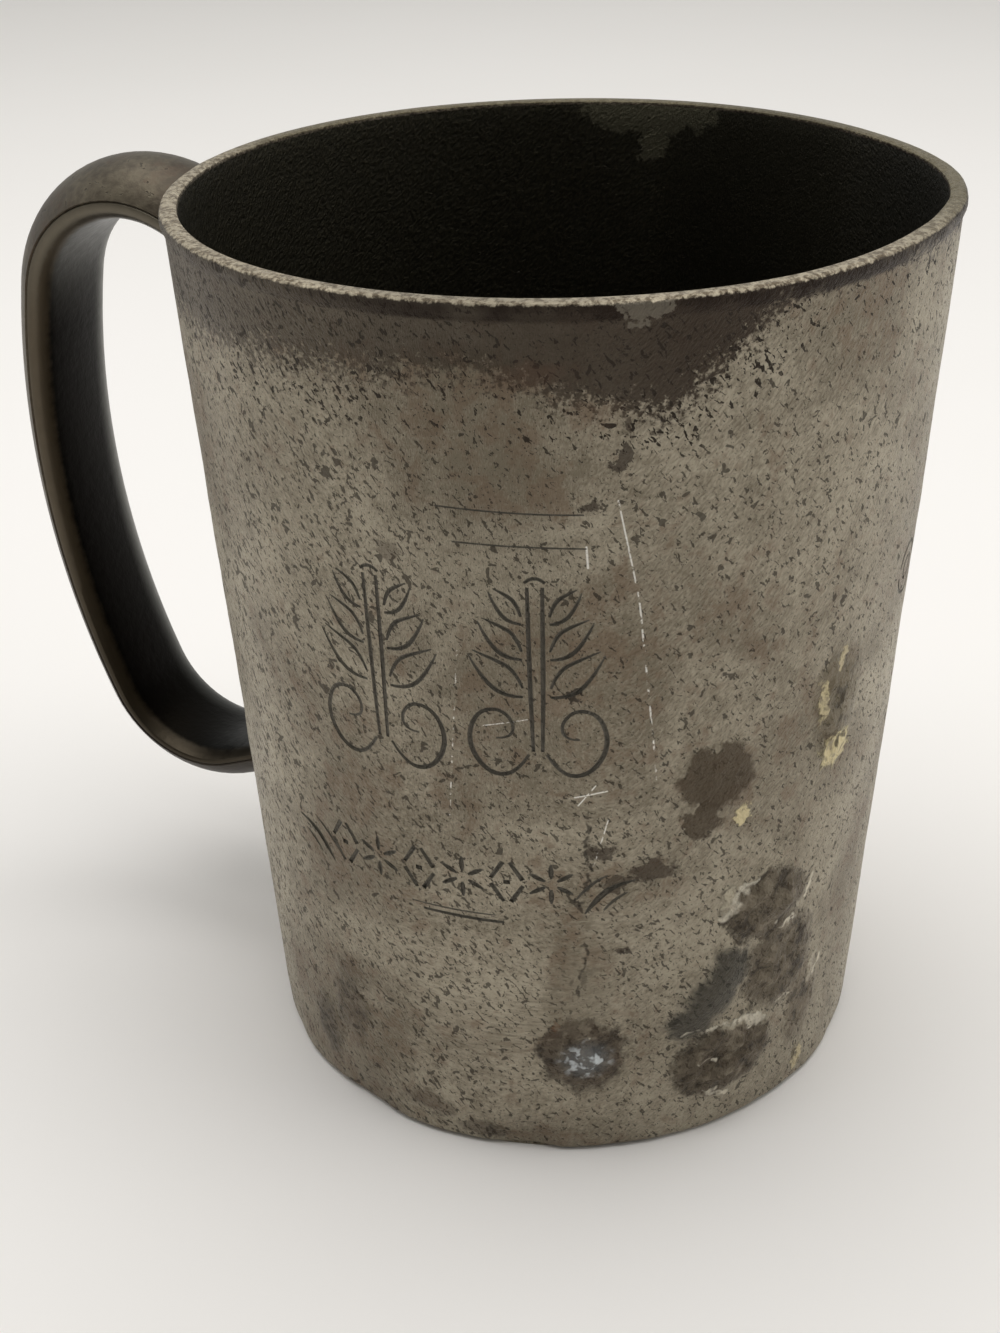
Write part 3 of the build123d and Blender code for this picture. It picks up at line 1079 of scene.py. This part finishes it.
def outerHalf(values):
    # a domed channel: across and outwards from the seam
    half, crown, groove = values["halfWidth"], values["crown"], values["groove"]
    radius = (half ** 2 + (crown - groove) ** 2) / (2 * (crown - groove))
    reach = degrees(asin(half / radius))
    steps = values["domeSteps"]
    turns = [radians(reach * (1 - step / steps)) for step in range(2 * steps + 1)]
    dome = [(radius * sin(turn), crown - radius + radius * cos(turn)) for turn in turns]
    return [(values["channelEdge"], 0.0), (half - groove, 0.0), *dome, (groove - half, 0.0), *values["channel"]]


def innerHalf(values):
    # a strip with rounded sides and a softly rounded finger side: across, and a share of its thickness
    right = [
        (7.5, 0), (7.7, -0.05), (7.75, -0.14), (7.73, -0.3), (7.6, -0.42), (7.2, -0.55), (6.6, -0.7),
        (6, -0.8), (5.4, -0.86), (4.6, -0.9), (3.6, -0.94), (2.4, -0.975), (1.2, -0.995),
    ]
    whole = [*right, (0.0, -1.0), *((-across, out) for across, out in reversed(right))]
    return [(across, out * values["topThickness"]) for across, out in whole]


def buryEnd(piece, values, turn, ends):
    # slides an end's points along the seam until they are just inside the wall's outside
    way = headingVector(turn)
    for index in ends:
        vert = piece.data.vertices[index]
        for _ in range(12):     # each step closes nine tenths of the gap
            gap = vert.co.xy.length - (wallRadius(vert.co.z / mm) - values["buried"]) * mm
            vert.co -= way * gap * 0.9


def extrudeEnd(piece, step):
    # draws the bar's far end out by a step
    inEdit(
        piece,
        lambda: bpy.ops.mesh.select_mode(type="FACE"),
        lambda: bpy.ops.mesh.select_all(action="DESELECT"),
    )
    edge = max(vert.co.x for vert in piece.data.vertices)
    for face in piece.data.polygons:
        face.select = all(piece.data.vertices[i].co.x > edge - hair for i in face.vertices)
    inEdit(piece, lambda: bpy.ops.mesh.extrude_region_move(TRANSFORM_OT_translate={"value": (step * mm, 0, 0)}))


def bendHalf(name, outline, values, path, tapers):
    seam, length, stops = path
    piece = drawOutline(name, [(0.0, across, out) for across, out in outline])
    inEdit(piece, lambda: bpy.ops.mesh.select_all(action="SELECT"), bpy.ops.mesh.edge_face_add)
    bay = values["endBay"]
    for step in (bay, length - 2 * bay, bay):
        extrudeEnd(piece, step)
    cutEdges(piece, values["cuts"], lambda a, b: abs(a.x - b.x) > 2 * bay)
    inEdit(piece, closeSeams)
    starts = [vert.index for vert in piece.data.vertices if vert.co.x < 10 * hair]
    ends = [vert.index for vert in piece.data.vertices if vert.co.x > length * mm - 10 * hair]
    if tapers:
        thinning = values["footThickness"] / values["topThickness"] - 1
        for vert in piece.data.vertices:
            vert.co.z *= 1 + thinning * vert.co.x / (length * mm)
    bend = piece.modifiers.new("bend", "CURVE")
    bend.object = seam
    bend.deform_axis = "POS_X"
    applyModifiers(piece)
    buryEnd(piece, values, stops[0][1], starts)
    buryEnd(piece, values, stops[-1][1] + 180, ends)
    return piece


handleFinish = {
    "metallic": 0.7,
    "skin": dict(Pale=(100, 92, 77), Dark=(66, 58, 47), Warm=(70, 55, 43), Mottle=0.4),
    "grain": (0.9, 3, 0.6),
    "pit": ((36, 31, 26), 0.6),
    "pits": (0.9, 0.66, 0.06),
    "low": ((50, 42, 35), 1),       # darker towards the foot
    "lowRagged": 30,
    "lowLevels": (76, 34, 0, 0.8),
    "leastRough": 0.36,
    "rough": dict(grain=0.16),
    "relief": dict(grain=0.07, pits=-0.05),
}
fingerFinish = {
    "metallic": 1.0,
    "grain": (0.7, 3, 0.6),
    "black": (12, 10, 7),
    # a painted grey reflection towards one side and near the top
    "grey": (122, 122, 118),
    "greyAcross": (3.4, 7.7),
    "greyAtTop": (86, 104, 0, 0.35),
    "greyLevels": (24, 60, 0.4, 1),
    "edgeRagged": 0.8,
    "side": ((88, 80, 68), 1),
    "sideTurn": (3, 0),
    "sideEdge": (5.2, 6.6),
    "sideLevels": (32, 62, 0.55, 1),
    # a painted highlight along the top of the edge
    "rubbed": ((104, 99, 88), 1),
    "rubbedEdge": (6.9, 7.3),
    "rubbedLevels": (86, 102, 0, 0.6),
    "leastRough": 0.3,
    "rough": dict(grain=0.2),
    "relief": dict(grain=0.06),
}


def makeOldPewter(name, values):
    made, tree, shader, place = newMaterial(name)
    grain = noise(place, *values["grain"])
    skin = useGroup(skinGroup, Place=place, Grain=grain, **values["skin"])
    pits = pitMask(place, *values["pits"])
    colour = layered(skin["Color"], values, pit=[pits])
    if "low" in values:
        height = put(tree, "SeparateXYZ", place).outputs[2]
        ragged = total(height, centred(skin["Clouds"], values["lowRagged"]))
        colour = layered(colour, values, low=[fade(ragged, *values["lowLevels"])])
    finishShader(shader, values, colour, grain=grain, pits=pits)
    return made


def makeFingerPewter(values):
    # the finger side: almost black along its middle, grey on the near side and near the top as a painted
    # reflection, brown down the side that is turned away, and a painted highlight along the top of its edge
    made, tree, shader, place = newMaterial("fingerPewter")
    across, height = put(tree, "SeparateXYZ", place).outputs[1:3]
    grain = noise(place, *values["grain"])
    # grey towards one side and near the top: a painted reflection
    grey = total(fade(across, *values["greyAcross"]), fade(height, *values["greyAtTop"]))
    grey = sums("MINIMUM", grey, 1.0)
    colour = paint(values["black"], values["grey"], grey, fade(height, *values["greyLevels"]))
    edge = total(sums("ABSOLUTE", across), centred(grain, values["edgeRagged"]))
    colour = layered(
        colour, values,
        side=[fade(edge, *values["sideEdge"]), fade(across, *values["sideTurn"]),
              fade(height, *values["sideLevels"])],
        # a painted highlight along the top of the edge
        rubbed=[fade(edge, *values["rubbedEdge"]), fade(height, *values["rubbedLevels"])],
    )
    finishShader(shader, values, colour, grain=grain)
    return made


seamPath = drawSeam(handleValues)
back = bendHalf("handleBack", outerHalf(handleValues), handleValues, seamPath, False)
fingerSide = bendHalf("fingerSide", innerHalf(handleValues), handleValues, seamPath, True)
bpy.data.objects.remove(seamPath[0])
back.data.materials.append(makeOldPewter("handlePewter", handleFinish))
fingerSide.data.materials.append(makeFingerPewter(fingerFinish))
smoothen(back, handleValues["backSmoothUnder"])
smoothen(fingerSide, handleValues["fingerSmoothUnder"])
finishPiece(back, "handleBack", "handle_pewter", "handle_outer_half")
finishPiece(fingerSide, "handleFingerSide", "handle_pewter", "handle_inner_half")
print("handle bent:", len(back.data.polygons) + len(fingerSide.data.polygons), "faces")


floorDark, solderDark = (34, 32, 24), (48, 43, 35)
floorFinish = {
    "metallic": 0.6,
    "skin": dict(Pale=(70, 66, 52), Dark=floorDark, Warm=floorDark, Mottle=0.5),
    "grain": (1.1, 3, 0.6),
    "pit": (floorDark, 0.5),
    "pits": (0.8, 0.6, 0.06),
    "leastRough": 0.4,
    "rough": dict(grain=0.2),
    "relief": dict(grain=0.15, pits=-0.08),
}
solderFinish = {
    **floorFinish,
    "skin": dict(Pale=(84, 78, 66), Dark=solderDark, Warm=solderDark, Mottle=0.5),
    "pit": (solderDark, 0.5),
}


def dress(node, material):
    piece = frame["nodes"][node]
    piece.data.materials.clear()
    piece.data.materials.append(material)


dress("base_disc", makeOldPewter("floorPewter", floorFinish))
solder = makeOldPewter("greySolder", solderFinish)
for node in ("base_solder_seam", "handle_top_solder", "handle_foot_solder"):
    dress(node, solder)
print("nodes kept from the frame dressed")


stageValues = {
    "floorRadius": 4000,
    "floorSides": 96,
    "floorClouds": 0.004,
    "floorPale": (247, 244, 242),
    "floorDark": (242, 239, 236),
    "floorRough": 0.7,
    "floorSpecular": 0.2,
    "sky": (238, 238, 234),
    "skyStrength": 0.68,
    "seenStrength": 0.8,        # of the sky as the camera sees it
    "roomStrength": 0.12,       # the room behind the camera is dark
    "roomWay": (0.42, -0.9, 0.12),
    "roomEdge": (0.2, 0.85),
}


def makeStage(values):
    bpy.ops.mesh.primitive_circle_add(
        vertices=values["floorSides"], radius=values["floorRadius"] * mm, fill_type="NGON")
    table = bpy.context.object
    table.name = table.data.name = "paleTable"
    made, _, shader, place = newMaterial("paleTable")
    tone = paint(values["floorDark"], values["floorPale"], noise(place, values["floorClouds"]))
    feed(tone, shader.inputs["Base Color"])
    feed(values["floorRough"], shader.inputs["Roughness"])
    feed(values["floorSpecular"], shader.inputs["Specular IOR Level"])
    table.data.materials.append(made)
    sky = bpy.data.worlds.new("softSky")
    scene.world = sky
    sky.use_nodes = True
    tree = sky.node_tree
    back = next(n for n in tree.nodes if n.type == "BACKGROUND")
    way = put(tree, "TexCoord").outputs["Generated"]
    ahead = vectors("DOT_PRODUCT", way, Vector(values["roomWay"]).normalized()).outputs["Value"]
    strength = fade(ahead, *values["roomEdge"], values["skyStrength"], values["roomStrength"])
    toCamera = put(tree, "LightPath").outputs["Is Camera Ray"]
    unseen = times(sums("SUBTRACT", 1.0, toCamera), strength)
    feed(values["sky"], back.inputs["Color"])
    feed(total(unseen, times(toCamera, values["seenStrength"])), back.inputs["Strength"])


# Soft lights: a wide one overhead, a little behind, and a long one at each side.
lightValues = {
    "overhead": dict(at=(-40, 90, 900), towards=(-20, 40, 0), size=(1100, 900), power=6.1,
                     tint=(1, 0.995, 0.985)),
    "rightSide": dict(at=(560, 120, 320), towards=(0, 0, 50), size=(320, 480), power=0.48,
                      tint=(1, 0.995, 0.975)),
    "leftSide": dict(at=(-540, -80, 280), towards=(0, 0, 60), size=(320, 480), power=0.18,
                     tint=(0.99, 0.995, 1)),
}


def makeLights(values):
    for name, light in values.items():
        data = bpy.data.lights.new(name, "AREA")
        data.shape = "RECTANGLE"
        data.size, data.size_y = (side * mm for side in light["size"])
        data.energy = light["power"]
        data.color = light["tint"]
        made = bpy.data.objects.new(name, data)
        scene.collection.objects.link(made)
        made.location = Vector(light["at"]) * mm
        way = Vector(light["towards"]) - Vector(light["at"])
        made.rotation_euler = way.to_track_quat("-Z", "Y").to_euler()


makeStage(stageValues)
makeLights(lightValues)
print("stage and lights set")

deselectAll()
